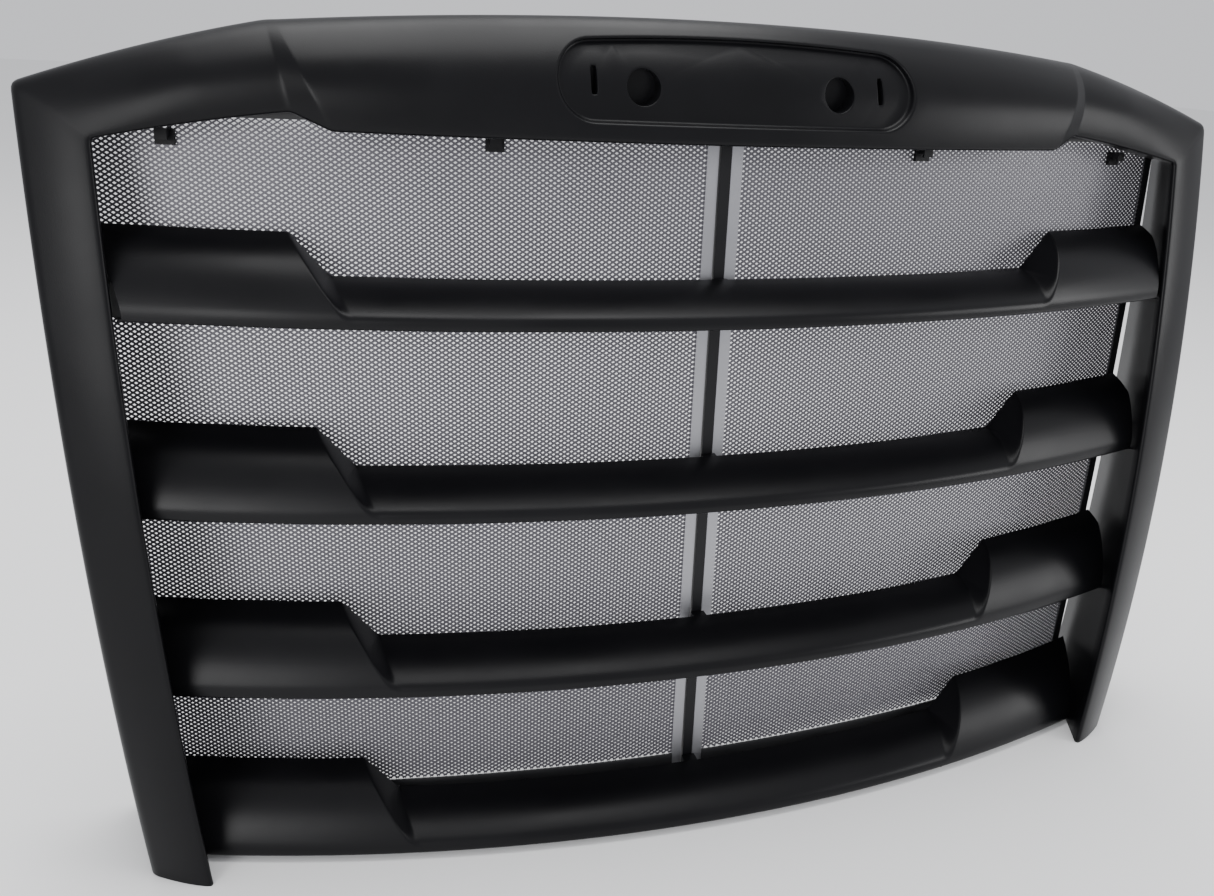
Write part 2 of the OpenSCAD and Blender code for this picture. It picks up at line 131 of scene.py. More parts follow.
def piece(name, shape, body, node, material, sharp=35):
    """A mesh object from points and quads, shaded smooth up to the sharp angle in degrees. It
    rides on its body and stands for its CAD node."""
    points, quads = shape
    mesh = bpy.data.meshes.new(name)
    twin = quads == np.roll(quads, 1, axis=1)
    four = ~twin.any(axis=1)
    loops = [quads[four].reshape(-1)]
    sizes = [np.full(four.sum(), 4)]
    three = quads[~four][~twin[~four]]
    loops.append(three)
    sizes.append(np.full(len(three) // 3, 3))
    loops, sizes = np.concatenate(loops), np.concatenate(sizes)
    mesh.vertices.add(len(points))
    mesh.vertices.foreach_set("co", points.astype(np.float32).reshape(-1))
    mesh.loops.add(len(loops))
    mesh.loops.foreach_set("vertex_index", loops.astype(np.int32))
    mesh.polygons.add(len(sizes))
    mesh.polygons.foreach_set("loop_start", (np.cumsum(sizes) - sizes).astype(np.int32))
    mesh.polygons.foreach_set("loop_total", sizes.astype(np.int32))
    mesh.update(calc_edges=True)
    mesh.validate()
    mesh.shade_smooth()
    mesh.set_sharp_from_angle(angle=math.radians(sharp))
    mesh.materials.append(material)
    made = bpy.data.objects.new(name, mesh)
    bpy.context.scene.collection.objects.link(made)
    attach(made, body)
    if node:
        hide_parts(node)
    print(f"{name}: {len(points)} points, {len(sizes)} faces")
    return made


# %% [markdown]
# ## The camera and the light
# The camera comes first, so that every later step can be looked at. It stands to the left of
# the grille, a little above it, and close, so the near pillar looms and the far one shrinks.
# The light is a studio's: a pale floor, a wide lamp overhead, a soft one on each side and a pale
# sky, because on black satin plastic one sees mostly what it mirrors.

# %% Camera
camera_place = Vector((-0.3827, -0.8685, 0.7584))
yaw, pitch, roll = 0.3091, -0.3824, 0.0578
ahead = Vector((math.sin(yaw) * math.cos(pitch), math.cos(yaw) * math.cos(pitch), math.sin(pitch)))
level = Vector((math.cos(yaw), -math.sin(yaw), 0))
upward = level.cross(ahead)
right = math.cos(roll) * level + math.sin(roll) * upward
top = -math.sin(roll) * level + math.cos(roll) * upward
camera = bpy.data.objects.new("camera", bpy.data.cameras.new("camera"))
camera.data.lens = 31.14
camera.data.sensor_width = 36
camera.data.clip_start = 0.05
turned_to = Matrix((right, top, -ahead)).transposed().to_4x4()
camera.matrix_world = Matrix.Translation(camera_place) @ turned_to
bpy.context.scene.collection.objects.link(camera)
bpy.context.scene.camera = camera
print("camera at", tuple(camera_place))

# %% Floor
floor_half = 14.0
floor_mesh = bpy.data.meshes.new("floor")
floor_mesh.from_pydata([(-floor_half, -floor_half, -0.0005), (floor_half, -floor_half, -0.0005),
                        (floor_half, floor_half, -0.0005), (-floor_half, floor_half, -0.0005)],
                       [], [(0, 1, 2, 3)])
floor = bpy.data.objects.new("floor", floor_mesh)
bpy.context.scene.collection.objects.link(floor)
floor_paint = bpy.data.materials.new("floor_paint")
floor_paint.use_nodes = True
floor_paint.node_tree.nodes["Principled BSDF"].inputs["Base Color"].default_value = (0.9, 0.9, 0.9, 1)
floor_paint.node_tree.nodes["Principled BSDF"].inputs["Roughness"].default_value = 0.9
floor_mesh.materials.append(floor_paint)
print("floor", 2 * floor_half, "m wide")


# %% Lights
def soft_light(name, place, aim, size, power):
    """A square area light at place that shines towards aim."""
    lamp = bpy.data.objects.new(name, bpy.data.lights.new(name, "AREA"))
    lamp.data.shape = "SQUARE"
    lamp.data.size = size
    lamp.data.energy = power
    lamp.location = place
    lamp.rotation_euler = (Vector(aim) - Vector(place)).to_track_quat("-Z", "Y").to_euler()
    bpy.context.scene.collection.objects.link(lamp)
    return lamp


middle = (cad_low + cad_high) / 2
soft_light("ceiling_light", (0, 0.6, 3.4), (0, 0.5, 0), 2.6, 120)
soft_light("front_left_light", (-2.4, -2.6, 1.3), middle, 1.6, 60)
soft_light("right_light", (2.6, -1.4, 1.1), middle, 1.2, 30)
world = bpy.data.worlds.new("studio")
world.use_nodes = True
world.node_tree.nodes["Background"].inputs["Color"].default_value = (0.95, 0.96, 1.0, 1)
world.node_tree.nodes["Background"].inputs["Strength"].default_value = 0.85
bpy.context.scene.world = world
print("three soft lights and a pale sky")

# %% [markdown]
# ## Finishes
# The grille is moulded in black plastic with a fine spark-eroded grain, so its gloss is broken
# up and its colour shifts a little. A flat colour would look like a drawing. Each finish is one
# Principled shader: a fine noise drives a bump for the grain, and a broad one varies the gloss.
# The noise reads Object coordinates, which don't slide when a piece moves.

# %% Finishes
def finish(name, colour, tint, rough, spread, grain, grain_size, metal=0.0, specular=0.5):
    """A grained surface: colour varies towards tint and roughness by spread with broad noise,
    and the bump is fine noise of the given grain size in metres and strength."""
    made = bpy.data.materials.new(name)
    made.use_nodes = True
    nodes, links = made.node_tree.nodes, made.node_tree.links
    shader = nodes["Principled BSDF"]
    shader.inputs["Metallic"].default_value = metal
    shader.inputs["Specular IOR Level"].default_value = specular
    place = nodes.new("ShaderNodeTexCoord")
    broad = nodes.new("ShaderNodeTexNoise")
    broad.inputs["Scale"].default_value = 9
    broad.inputs["Detail"].default_value = 4
    links.new(place.outputs["Object"], broad.inputs["Vector"])
    mix = nodes.new("ShaderNodeMix")
    mix.data_type = "RGBA"
    mix.inputs["A"].default_value = (*colour, 1)
    mix.inputs["B"].default_value = (*tint, 1)
    links.new(broad.outputs["Fac"], mix.inputs["Factor"])
    links.new(mix.outputs["Result"], shader.inputs["Base Color"])
    gloss = nodes.new("ShaderNodeMapRange")
    gloss.inputs["From Min"].default_value = 0.3
    gloss.inputs["From Max"].default_value = 0.7
    gloss.inputs["To Min"].default_value = rough - spread
    gloss.inputs["To Max"].default_value = rough + spread
    links.new(broad.outputs["Fac"], gloss.inputs["Value"])
    links.new(gloss.outputs["Result"], shader.inputs["Roughness"])
    fine = nodes.new("ShaderNodeTexNoise")
    fine.inputs["Scale"].default_value = 1 / grain_size
    fine.inputs["Detail"].default_value = 2
    links.new(place.outputs["Object"], fine.inputs["Vector"])
    bump = nodes.new("ShaderNodeBump")
    bump.inputs["Strength"].default_value = grain
    bump.inputs["Distance"].default_value = 0.0002
    links.new(fine.outputs["Fac"], bump.inputs["Height"])
    links.new(bump.outputs["Normal"], shader.inputs["Normal"])
    return made


shell_black = finish("shell_black", (0.0025, 0.0025, 0.003), (0.005, 0.005, 0.006), 0.33, 0.05,
                     0.3, 0.0009, specular=0.14)
louver_black = finish("louver_black", (0.0025, 0.0025, 0.003), (0.005, 0.005, 0.006), 0.33, 0.05,
                      0.3, 0.0009, specular=0.17)
rib_black = finish("rib_black", (0.003, 0.003, 0.004), (0.007, 0.007, 0.008), 0.36, 0.05,
                   0.3, 0.0009, specular=0.25)
clip_black = finish("clip_black", (0.003, 0.003, 0.004), (0.006, 0.006, 0.007), 0.5, 0.05,
                    0.3, 0.0009, specular=0.2)
screen_grey = finish("screen_grey", (0.075, 0.072, 0.085), (0.11, 0.106, 0.122), 0.46, 0.05,
                     0.2, 0.0012, 0.3)
edge_black = finish("edge_black", (0.008, 0.008, 0.009), (0.016, 0.016, 0.018), 0.42, 0.05,
                    0.2, 0.0012, 0.2)
hem_grey = finish("hem_grey", (0.3, 0.3, 0.32), (0.38, 0.38, 0.4), 0.38, 0.05, 0.2, 0.0015, 0.8)
zinc = finish("zinc", (0.42, 0.42, 0.42), (0.55, 0.54, 0.5), 0.36, 0.08, 0.3, 0.003, 1.0)
screw_black = finish("screw_black", (0.05, 0.05, 0.055), (0.08, 0.08, 0.085), 0.34, 0.06,
                     0.2, 0.001, 0.7)
print("materials:", len(bpy.data.materials))

# %% [markdown]
# ## The lines that everything hangs on
# The louvers and screens are bowed: seen from above, each is part of a large circle. The pillars
# swell a little between their ends. Two formulas cover both, and the sizes come from the CAD
# boxes wherever a box holds them.

# %% Bows and swells
def swell(a, b, bulge, t):
    """A straight run from a to b that stands off by the bulge at its middle: 4 t (1 - t)."""
    return a + (b - a) * t + 4 * bulge * t * (1 - t)


def bow(x, radius):
    """Depth of a circular bow at distance x from the middle: r minus the root of r2 - x2."""
    return radius - np.sqrt(radius ** 2 - x ** 2)


shell_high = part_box("surround")[1]
corner_x, crown_z = shell_high.x, shell_high.z
screen_lean = math.radians(4.1)
screen_bow_r = 1.923
screen_top = (0.033, 0.660)


def screen_y(x, z):
    """Depth of the screens' bowed sheet, which leans back as it rises."""
    return screen_top[0] - (screen_top[1] - z) * math.tan(screen_lean) + bow(x, screen_bow_r)


print("half width", round(corner_x, 4), "crown height", round(crown_z, 4))

# %% [markdown]
# ## The surround
# On the real grille the pillars and the header are one moulding, an upside-down U. It could be
# modelled as boxes with bevels, but its face twists all the way round. So it is swept: at each
# station along the U there are an outer edge point and an inner edge point, and the face bulges
# between them. The stations run up the pillar, along the header's outer wing, down a short ramp
# to the raised centre, and over the middle.

# %% Stations of the right half
flare = 0.47
corner_z = 0.693
opening_z = 0.655
wall = 0.003


def crown_edge(x):
    """Top edge of the header: an arch seen from the front and a bow seen from above."""
    return np.stack([x, 0.0388 + bow(x, 2.05), crown_z - bow(x, 3.984)], axis=-1)


def header_edge(x):
    """Lower edge of the header's raised centre: level, and bowed seen from above."""
    return np.stack([x, -0.014 + bow(x, 1.745), np.full_like(x, 0.668)], axis=-1)


def pillar(t):
    """Outer edge, inner edge, crown power and the two rear edges of a pillar at height share t."""
    outer = np.stack([swell(0.537, corner_x, 0.0055, t), swell(-0.0283, 0.0826, -0.0213, t),
                      corner_z * t], axis=-1)
    inner = np.stack([swell(0.481, 0.5225, 0.0068, t), swell(-0.0568, 0.0544, -0.0142, t),
                      opening_z * t], axis=-1)
    rear = screen_y(0.55, inner[:, 2]) + 0.008
    inner_rear = np.stack([inner[:, 0] + flare * (rear - inner[:, 1]), rear, inner[:, 2]], axis=-1)
    outer_rear = np.stack([np.maximum(outer[:, 0], inner_rear[:, 0] + 0.008), rear + 0.002,
                           outer[:, 2]], axis=-1)
    return outer, inner, np.full_like(t, 1.35), outer_rear, inner_rear


def header_run(outer, inner, power):
    """Adds to a run of header edges the rear edges of its top and bottom flanges."""
    inner_rear = inner.copy()
    inner_rear[:, 1] = screen_y(inner[:, 0], inner[:, 2]) - 0.006
    return outer, inner, power, outer + np.array([0, 0.038, -0.002]), inner_rear


def wing(t):
    """The header's outer wing, from the pillar's top at t 0 to the top of the ramp at t 1."""
    start = pillar(np.ones(1))
    outer_end = crown_edge(np.array([0.388]))[0] + np.array([0, 0.001, 0])
    outer_end[2] = 0.748
    inner_end = np.array([0.373, 0.034, 0.681])
    lift = np.stack([0 * t, 0 * t, 4 * t * (1 - t)], axis=-1)
    outer = start[0] + (outer_end - start[0]) * t[:, None] + 0.0037 * lift
    inner = start[1] + (inner_end - start[1]) * t[:, None] + 0.0017 * lift
    return header_run(outer, inner, 1.35 + 1.45 * np.minimum(1, 1.6 * t))


def centre(t):
    """The header's raised centre, from the foot of the ramp at t 0 to the middle at t 1."""
    return header_run(crown_edge(0.381 * (1 - t)), header_edge(0.342 * (1 - t)),
                      np.full_like(t, 2.8))


def ramp(t):
    """The ramp: a straight blend from the wing's end to the centre's beginning."""
    a, b = wing(np.ones(1)), centre(np.zeros(1))
    return tuple(p + (q - p) * (t[:, None] if p.ndim > 1 else t) for p, q in zip(a, b))


print("pillar foot at x", np.round(pillar(np.zeros(1))[0][0, 0], 4))

# %% [markdown]
# Corners on a moulding are never sharp, because plastic doesn't flow into a knife edge. The
# stations are laid close together and each edge line is then averaged with its neighbours over
# a few millimetres, which turns every corner of the U into a small round.

# %% Sweep lines with rounded corners
def run_of(parts):
    """Joins runs of stations, dropping each run's first station where it repeats the last."""
    joined = []
    for kind in range(5):
        rows = [p[kind] if i == 0 else p[kind][1:] for i, p in enumerate(parts)]
        joined.append(np.concatenate(rows))
    return joined


def rounded(line, reach):
    """The line averaged over the given reach either side, measured along it. The ends stay."""
    step = np.linalg.norm(np.diff(line, axis=0), axis=1)
    along = np.concatenate([[0], np.cumsum(step)])
    spans = np.linspace(-1, 1, 9)
    hold = np.minimum(reach, np.minimum(along, along[-1] - along))
    where = along[:, None] + hold[:, None] * spans
    weight = 1 - 0.75 * spans ** 2
    smooth = [(np.interp(where, along, line[:, k]) * weight).sum(axis=1) / weight.sum()
              for k in range(line.shape[1])]
    return np.stack(smooth, axis=-1)


def crowded(count, ends):
    """Shares from 0 to 1 that crowd towards both ends, by the given amount from 0 to 1."""
    t = np.linspace(0, 1, count)
    return t - ends * np.sin(2 * np.pi * t) / (2 * np.pi)


pocket_stations = 61
pocket_share = 0.4 + 0.6 * np.linspace(0, 1, pocket_stations // 2 + 1)
half = run_of([pillar(crowded(90, 0.6)), wing(crowded(44, 0.75)), ramp(np.linspace(0, 1, 22)),
               centre(crowded(40, 0.5) * 0.4), centre(pocket_share)])
mirror_x = np.array([-1, 1, 1])
lines = [np.concatenate([k, k[-2::-1] * (mirror_x if k.ndim > 1 else 1)]) for k in half]
outer_line, inner_line, power_line, outer_rear_line, inner_rear_line = lines
outer_line = rounded(outer_line, 0.007)
inner_line = rounded(inner_line, 0.004)
outer_rear_line = rounded(outer_rear_line, 0.009)
inner_rear_line = rounded(inner_rear_line, 0.004)
print("stations:", len(outer_line))

# %% [markdown]
# Each station's section starts at the rear of the outer wall, turns over a soft edge onto the
# face, crosses it, turns over a tighter edge and runs back along the inner wall. The face is a
# power curve between its two edges, and both turns are quadratic curves that leave one surface
# and join the next without a kink.

# %% Sections of the surround
edge_round, edge_bevel = 0.008, 0.004
face_rows, turn_rows = 22, 7


def face_at(share):
    """Points of the face at a share of its width from the inner to the outer edge: x and z in
    a straight line, and the depth as that share to the station's power."""
    u = share[None, :, None] if share.ndim == 1 else share[:, :, None]
    flat = inner_line[:, None] + (outer_line - inner_line)[:, None] * u
    flat[..., 1] = inner_line[:, None, 1] + (outer_line - inner_line)[:, None, 1] * (
        u[..., 0] ** power_line[:, None])
    return flat


def turn(start, corner, end, rows):
    """A quadratic curve that leaves start towards the corner and arrives at end from it."""
    t = np.linspace(0, 1, rows)[None, :, None]
    return (1 - t) ** 2 * start[:, None] + 2 * t * (1 - t) * corner[:, None] + t ** 2 * end[:, None]


def straight(start, end, rows):
    """Evenly spaced points from start to end at every station."""
    t = np.linspace(0, 1, rows)[None, :, None]
    return start[:, None] * (1 - t) + end[:, None] * t


width = np.linalg.norm((outer_line - inner_line)[:, [0, 2]], axis=1)
share = (edge_bevel / width)[:, None] + (1 - (edge_round + edge_bevel) / width)[:, None] * np.linspace(
    1, 0, face_rows)
face = face_at(share)
outer_turn_start = outer_line + np.array([0, edge_round, 0])
inner_turn_end = inner_line + np.array([0, edge_bevel, 0])
outer_side = straight(outer_rear_line, outer_turn_start, 6)
outer_turn = turn(outer_turn_start, outer_line, face[:, 0], turn_rows)
inner_turn = turn(face[:, -1], inner_line, inner_turn_end, turn_rows)
inner_side = straight(inner_turn_end, inner_rear_line, 9)
section = np.concatenate([outer_side, outer_turn[:, 1:], face[:, 1:], inner_turn[:, 1:],
                          inner_side[:, 1:]], axis=1)
print("section points:", section.shape[1])

# %% [markdown]
# ## The emblem pocket
# The pocket is a shallow tub with round ends, a level bottom and an arched top. Cutting it with
# a boolean would leave slivers that spoil the gloss, so the face is left open there and refilled
# with rings: each ring is the pocket's outline, grown or shrunk by a little, at its own depth.
# The rings walk from the face over the rim, down the wall, round the floor's fillet and so on.

# %% Outline and face of the pocket
hole_low, hole_high = 0.684, 0.752
pocket_half, pocket_end, pocket_arch = 0.132, 0.032, 1.9
pocket_depth = 0.008


def pocket_outline(grow):
    """Front view of the pocket, grown outwards: along the bottom, round the right end, back
    along the top and round the left end. Its sides have as many points as the open face has."""
    x = np.linspace(-pocket_half, pocket_half, pocket_stations)
    low = np.stack([x, np.full_like(x, hole_low - grow)], axis=-1)
    high = np.stack([x, hole_high - bow(x, pocket_arch) + grow], axis=-1)
    turn_angle = np.linspace(-np.pi / 2, np.pi / 2, face_rows)
    mid_z = (low[-1, 1] + high[-1, 1]) / 2
    end = np.stack([pocket_half + (pocket_end + grow) * np.cos(turn_angle),
                    mid_z + (high[-1, 1] - mid_z) * np.sin(turn_angle)], axis=-1)
    left = end * np.array([-1, 1])
    return np.concatenate([low, end[1:-1], high[::-1], left[-2:0:-1]])


def face_depth(x, z):
    """Depth of the header's face at any x and z near the middle. The station and the share of
    the face's width are found by turns, each from the other, until they settle."""
    share_up, spread = np.full_like(x, 0.5), x / 0.36
    for _ in range(12):
        crown = crown_edge(0.381 * spread)
        share_up = np.clip((z - 0.668) / (crown[..., 2] - 0.668), 0, 1.05)
        spread = x / (0.342 + 0.039 * share_up)
    low_y = header_edge(0.342 * spread)[..., 1]
    return low_y + (crown_edge(0.381 * spread)[..., 1] - low_y) * share_up ** 2.8


def on_face(outline, depth):
    """Lifts a front-view outline onto the header's face, the given depth behind it."""
    y = face_depth(outline[:, 0], outline[:, 1]) + depth
    return np.stack([outline[:, 0], y, outline[:, 1]], axis=-1)


print("pocket depth at the middle", round(float(face_depth(np.zeros(1), np.full(1, 0.71))[0]), 4))

# %% Rings of the rim, wall and fillet
first = (len(outer_line) - pocket_stations) // 2
last = first + pocket_stations - 1
face_start = outer_side.shape[1] + turn_rows - 2
face_end = face_start + face_rows - 1
block = section[first:last + 1, face_start:face_end + 1]
border = np.concatenate([block[::-1, -1], block[0, -2:0:-1], block[:, 0], block[-1, 1:-1]])
rim = [(0.0030, 0.0), (0.0024, 0.00005), (0.0016, 0.0003), (0.0008, 0.0009), (0.0003, 0.0017),
       (0.0, 0.0027), (-0.0003, 0.0045), (-0.0006, 0.0056), (-0.0010, 0.0066), (-0.0018, 0.0075),
       (-0.0028, 0.0080)]
first_ring = on_face(pocket_outline(rim[0][0]), 0)
flat_rings = []
for t in (0.25, 0.5, 0.75):
    between = border * (1 - t) + first_ring * t
    flat_rings.append(on_face(between[:, [0, 2]], 0))
rings = np.stack([border, *flat_rings, *[on_face(pocket_outline(g), d) for g, d in rim]])
rings = np.concatenate([rings, rings[:, :1]], axis=1)
print("border starts at", np.round(border[0], 4), "outline starts at", np.round(first_ring[0], 4))

# %% [markdown]
# The floor has two round holes with collars and two upright slots. Each half of the floor is
# cut into two zones with one hole each, and a zone is filled with rings too: from the zone's own
# border to the hole's edge, and on along the collar.

# %% Floor zones with their holes
hole_x, hole_z, hole_r = 0.0905, 0.712, 0.0145
slot_x, slot_z, slot_w, slot_h = 0.1326, 0.716, 0.005, 0.022
cup_rear = 0.0175
split = int(np.argmin(np.abs(np.linspace(-pocket_half, pocket_half, pocket_stations) - 0.114)))


def upright(bottom, top_point, count):
    """Points strictly between two ends of a line."""
    t = np.linspace(0, 1, count + 2)[1:-1, None]
    return bottom * (1 - t) + top_point * t


def hole_zone(loop, hole_edge, depths, centre_xz):
    """Rings from a zone's loop to the edge of its hole, back along the hole's wall and in over
    its blind end. The hole_edge function gives the edge towards each point of the loop."""
    made = []
    for t in (0, 0.4, 0.75, 0.93):
        flat = loop * (1 - t) + hole_edge(loop, 0.0008) * t
        made.append(on_face(flat, pocket_depth))
    for grow, depth in ((0.0008, 0.0), (0.0003, 0.0002), (0.0, 0.0007)):
        made.append(on_face(hole_edge(loop, grow), pocket_depth + depth))
    edge = made[-1]
    for t in depths:
        back = edge.copy()
        back[:, 1] = edge[:, 1] * (1 - t) + cup_rear * t
        made.append(back)
    for t in (0.04, 0.5, 1.0):
        end = made[-1].copy()
        end[:, [0, 2]] = back[:, [0, 2]] * (1 - t) + np.array(centre_xz) * t
        made.append(end)
    grid = np.stack(made)
    return np.concatenate([grid, grid[:, :1]], axis=1)


def round_edge(loop, grow):
    """The round hole's edge, seen from its centre in each loop point's direction."""
    away = loop - np.array([hole_x, hole_z])
    return np.array([hole_x, hole_z]) + away / np.linalg.norm(away, axis=1)[:, None] * (hole_r + grow)


def slot_edge(loop, grow):
    """The slot's edge: directions from its centre, held inside a tall box with soft corners."""
    away = (loop - np.array([slot_x, slot_z])) / np.array([slot_w, slot_h])
    soft = (np.abs(away) ** 8).sum(axis=1) ** (1 / 8)
    return np.array([slot_x, slot_z]) + away / soft[:, None] * (
        np.array([slot_w, slot_h]) / 2 + grow)


floor_loop = pocket_outline(rim[-1][0])
mid = pocket_stations // 2
count = pocket_stations
low_half, end_half = floor_loop[:count], floor_loop[count:count + face_rows - 2]
high_half = floor_loop[count + face_rows - 2:2 * count + face_rows - 2][::-1]
seam = upright(low_half[split], high_half[split], 12)
middle_seam = upright(low_half[mid], high_half[mid], 12)
inner_zone = np.concatenate([low_half[mid:split + 1], seam, high_half[split:mid - 1:-1], middle_seam[::-1]])
outer_zone = np.concatenate([low_half[split:], end_half, high_half[:split - 1:-1], seam[::-1]])
zones = [hole_zone(inner_zone, round_edge, (0.25, 0.5, 0.75, 1.0), (hole_x, hole_z)),
         hole_zone(outer_zone, slot_edge, (0.35, 0.7, 1.0), (slot_x, slot_z))]
print("zone loops:", len(inner_zone), len(outer_zone))

# %% [markdown]
# The feet are closed by small plates with a locating hole. The plate is a ring patch as well:
# from the section's outline, pulled in to the middle of the wall, to the hole.

# %% The whole moulding
foot_hole_x, foot_rear = 0.524, 0.068
foot_hole_r, collar_r, collar_round = 0.005, 0.008, 0.0003
plate_z, collar_z = 0.004, 0.0004


def foot_plate(side):
    """The plate in one foot: rings from the section's own outline to a collar round its hole."""
    outline = section[0 if side > 0 else -1][:, :2]
    chord = upright(outline[-1], outline[0], 8)
    loop = np.concatenate([outline, chord])
    centre_xy = loop.mean(axis=0)
    loop = centre_xy + (loop - centre_xy) * 0.97
    loop[:, 1] = np.minimum(loop[:, 1], foot_rear)
    hole = np.array([side * foot_hole_x, 0.0])
    away = loop - hole
    away /= np.linalg.norm(away, axis=1)[:, None]
    flat = [loop * (1 - t) + (hole + away * collar_r) * t for t in (0, 0.3, 0.6, 0.85, 1)]
    flat += [hole + away * r for r in (collar_r, collar_r - collar_round,
                                       foot_hole_r + collar_round, foot_hole_r)]
    height = np.array([plate_z] * 5 + [collar_z + collar_round, collar_z, collar_z,
                                       collar_z + collar_round])
    grid = np.stack(flat)
    grid = np.concatenate([grid, grid[:, :1]], axis=1)
    return np.concatenate([grid, np.broadcast_to(height[:, None, None], (*grid.shape[:2], 1))], axis=2)


def turned_solid(profile, place, count=40):
    """A solid turned about the Y direction through place: profile rows are radius and depth."""
    angle = np.linspace(0, 2 * np.pi, count + 1)
    r, y = np.array(profile).T
    x = place[0] + r[:, None] * np.cos(angle)
    z = place[1] + r[:, None] * np.sin(angle)
    return np.stack([x, np.broadcast_to(y[:, None], x.shape), z], axis=-1)


sides = [patch(part, turned=True) for part in (
    section[:first + 1], section[last:],
    section[first:last + 1, :face_start + 1], section[first:last + 1, face_end:])]
pocket = [patch(rings)]
for zone in zones:
    pocket.append(patch(zone))
    pocket.append(patch(zone * mirror_x, turned=True))
sheet = weld(sides + pocket)
print("surround sheet:", len(sheet[0]), "points")

plates = []
for side in (1, -1):
    plate = foot_plate(side)
    plates.append(thicken(weld([patch(plate, turned=side < 0)]), wall))

# %% [markdown]
# Screws need something to bite into. Round bosses stand behind the header: four for the bracket
# screws and one for the centre rib. Each is a profile turned about the depth direction, with a
# small chamfer and a blind pilot hole.

# %% Bosses behind the header
boss_r, pilot_r, chamfer, pilot_depth = 0.005, 0.0022, 0.0006, 0.012
bracket_y, bracket_z = 0.090, 0.704
rib_boss_z = 0.678


def boss(place, start, end):
    """A closed boss from its start back to its end: radius and depth down the pilot hole's
    blind end, up its wall, over the chamfers and forward along the outside."""
    profile = [(0.0, end - pilot_depth), (pilot_r, end - pilot_depth), (pilot_r, end - chamfer),
               (pilot_r + chamfer, end), (boss_r - chamfer, end), (boss_r, end - chamfer),
               (boss_r + chamfer, start), (0.0, start)]
    return weld([patch(turned_solid(profile, place))])


bosses = [boss((side * boss_x, bracket_z), start, bracket_y)
          for side in (-1, 1) for boss_x, start in ((0.395, 0.042), (0.465, 0.058))]
bosses.append(boss((0.0, rib_boss_z), -0.010, float(screen_y(0, rib_boss_z)) - 0.0046))
print("bosses:", len(bosses))

# %% The surround's piece
surround_shape = thicken(sheet, wall)
piece("surround_moulding", weld([surround_shape, *plates, *bosses]), "root",
      "surround", shell_black)

# %% [markdown]
# ## The louvers
# A louver is one moulding too: a low scoop across the middle, and at each end a wing that stands
# twice as high. The step between them is a slanted wall. The front is a height map: a depth for
# every x and height. A plain grid would cut the slanted step into a staircase, so the grid's
# columns lean with the step, and it stays crisp.

# %% Louver sizes from the CAD boxes
names = ["louver_1", "louver_2", "louver_3", "louver_4"]
wing_h, scoop_h = 0.067, 0.031
wing_depth, scoop_depth = 0.0615, 0.061
lip_h, lip_bow_r = 0.010, 1.827
slant, louver_reach = 0.044, 0.535


def louver_facts(k):
    """Lip height and front depth of louver k from its CAD box, and where its wings begin."""
    low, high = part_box(names[k])
    return low.z, low.y, 0.378 - 0.014 * k


def ease(t):
    """A smooth step from 0 to 1: 3 t2 - 2 t3, flat before 0 and after 1."""
    t = np.clip(t, 0, 1)
    return t * t * (3 - 2 * t)


print("lips at", [round(louver_facts(k)[0], 4) for k in range(4)])

# %% [markdown]
# The section is drawn once for the scoop and once for the wing: an upright lip, then a shallow
# arc that leans back. Averaging the line along itself turns the kink at the lip's top into the
# soft roll that catches the light. Both sections are then read at the same heights, so that
# points of the scoop and the wing match and a column between them is a plain blend.

# %% Sections of a louver
flange_rows = [(0.014, 0.0), (0.010, 0.0), (0.006, 0.0), (0.0026, 0.0), (0.0014, 0.0003),
               (0.0005, 0.0010)]
row_heights = np.concatenate([np.linspace(0.0022, 0.0185, 15), np.linspace(0.0200, scoop_h, 13),
                              np.linspace(scoop_h + 0.003, wing_h, 13)])


def louver_section(full, depth, bulge):
    """(depth, height) from the rear of the bottom flange round the lip and up the front."""
    t = np.linspace(0, 1, 90)[:, None]
    lip_top, rear = np.array([0, lip_h]), np.array([depth, full])
    chord = rear - lip_top
    proud = np.array([-chord[1], chord[0]]) / np.linalg.norm(chord)
    arc = lip_top + chord * t + proud * 4 * bulge * t * (1 - t)
    upright_part = np.stack([np.zeros(30), np.linspace(0.0, lip_h, 30)], axis=-1)[:-1]
    line = rounded(np.concatenate([upright_part, arc]), 0.0065)
    held = np.minimum(row_heights, full)
    front = np.stack([np.maximum(np.interp(held, line[:, 1], line[:, 0]), 0), held], axis=-1)
    return np.concatenate([flange_rows, front])


scoop_section = louver_section(scoop_h, scoop_depth, 0.005)
wing_section = louver_section(wing_h, wing_depth, 0.010)
print("louver section:", len(wing_section), "points")

# %% Columns of a louver
wall_run = 0.011


def half_columns(step_x):
    """Foot positions of the columns from the middle to the straight part of the wing, with
    many across the step."""
    return np.concatenate([np.linspace(0, step_x - 0.045, 26), np.linspace(step_x - 0.040, step_x - 0.010, 7),
                           np.linspace(step_x - 0.009, step_x + 0.004, 16),
                           np.linspace(step_x + 0.008, step_x + 0.075, 12),
                           np.linspace(step_x + 0.085, 0.452, 5)])


def pillar_wall_x(z, y):
    """Where the flared inner wall of the right pillar is, at height z and depth y."""
    inner = pillar(np.atleast_1d(z) / opening_z)[1]
    return inner[0, 0] + flare * (y - inner[0, 1])


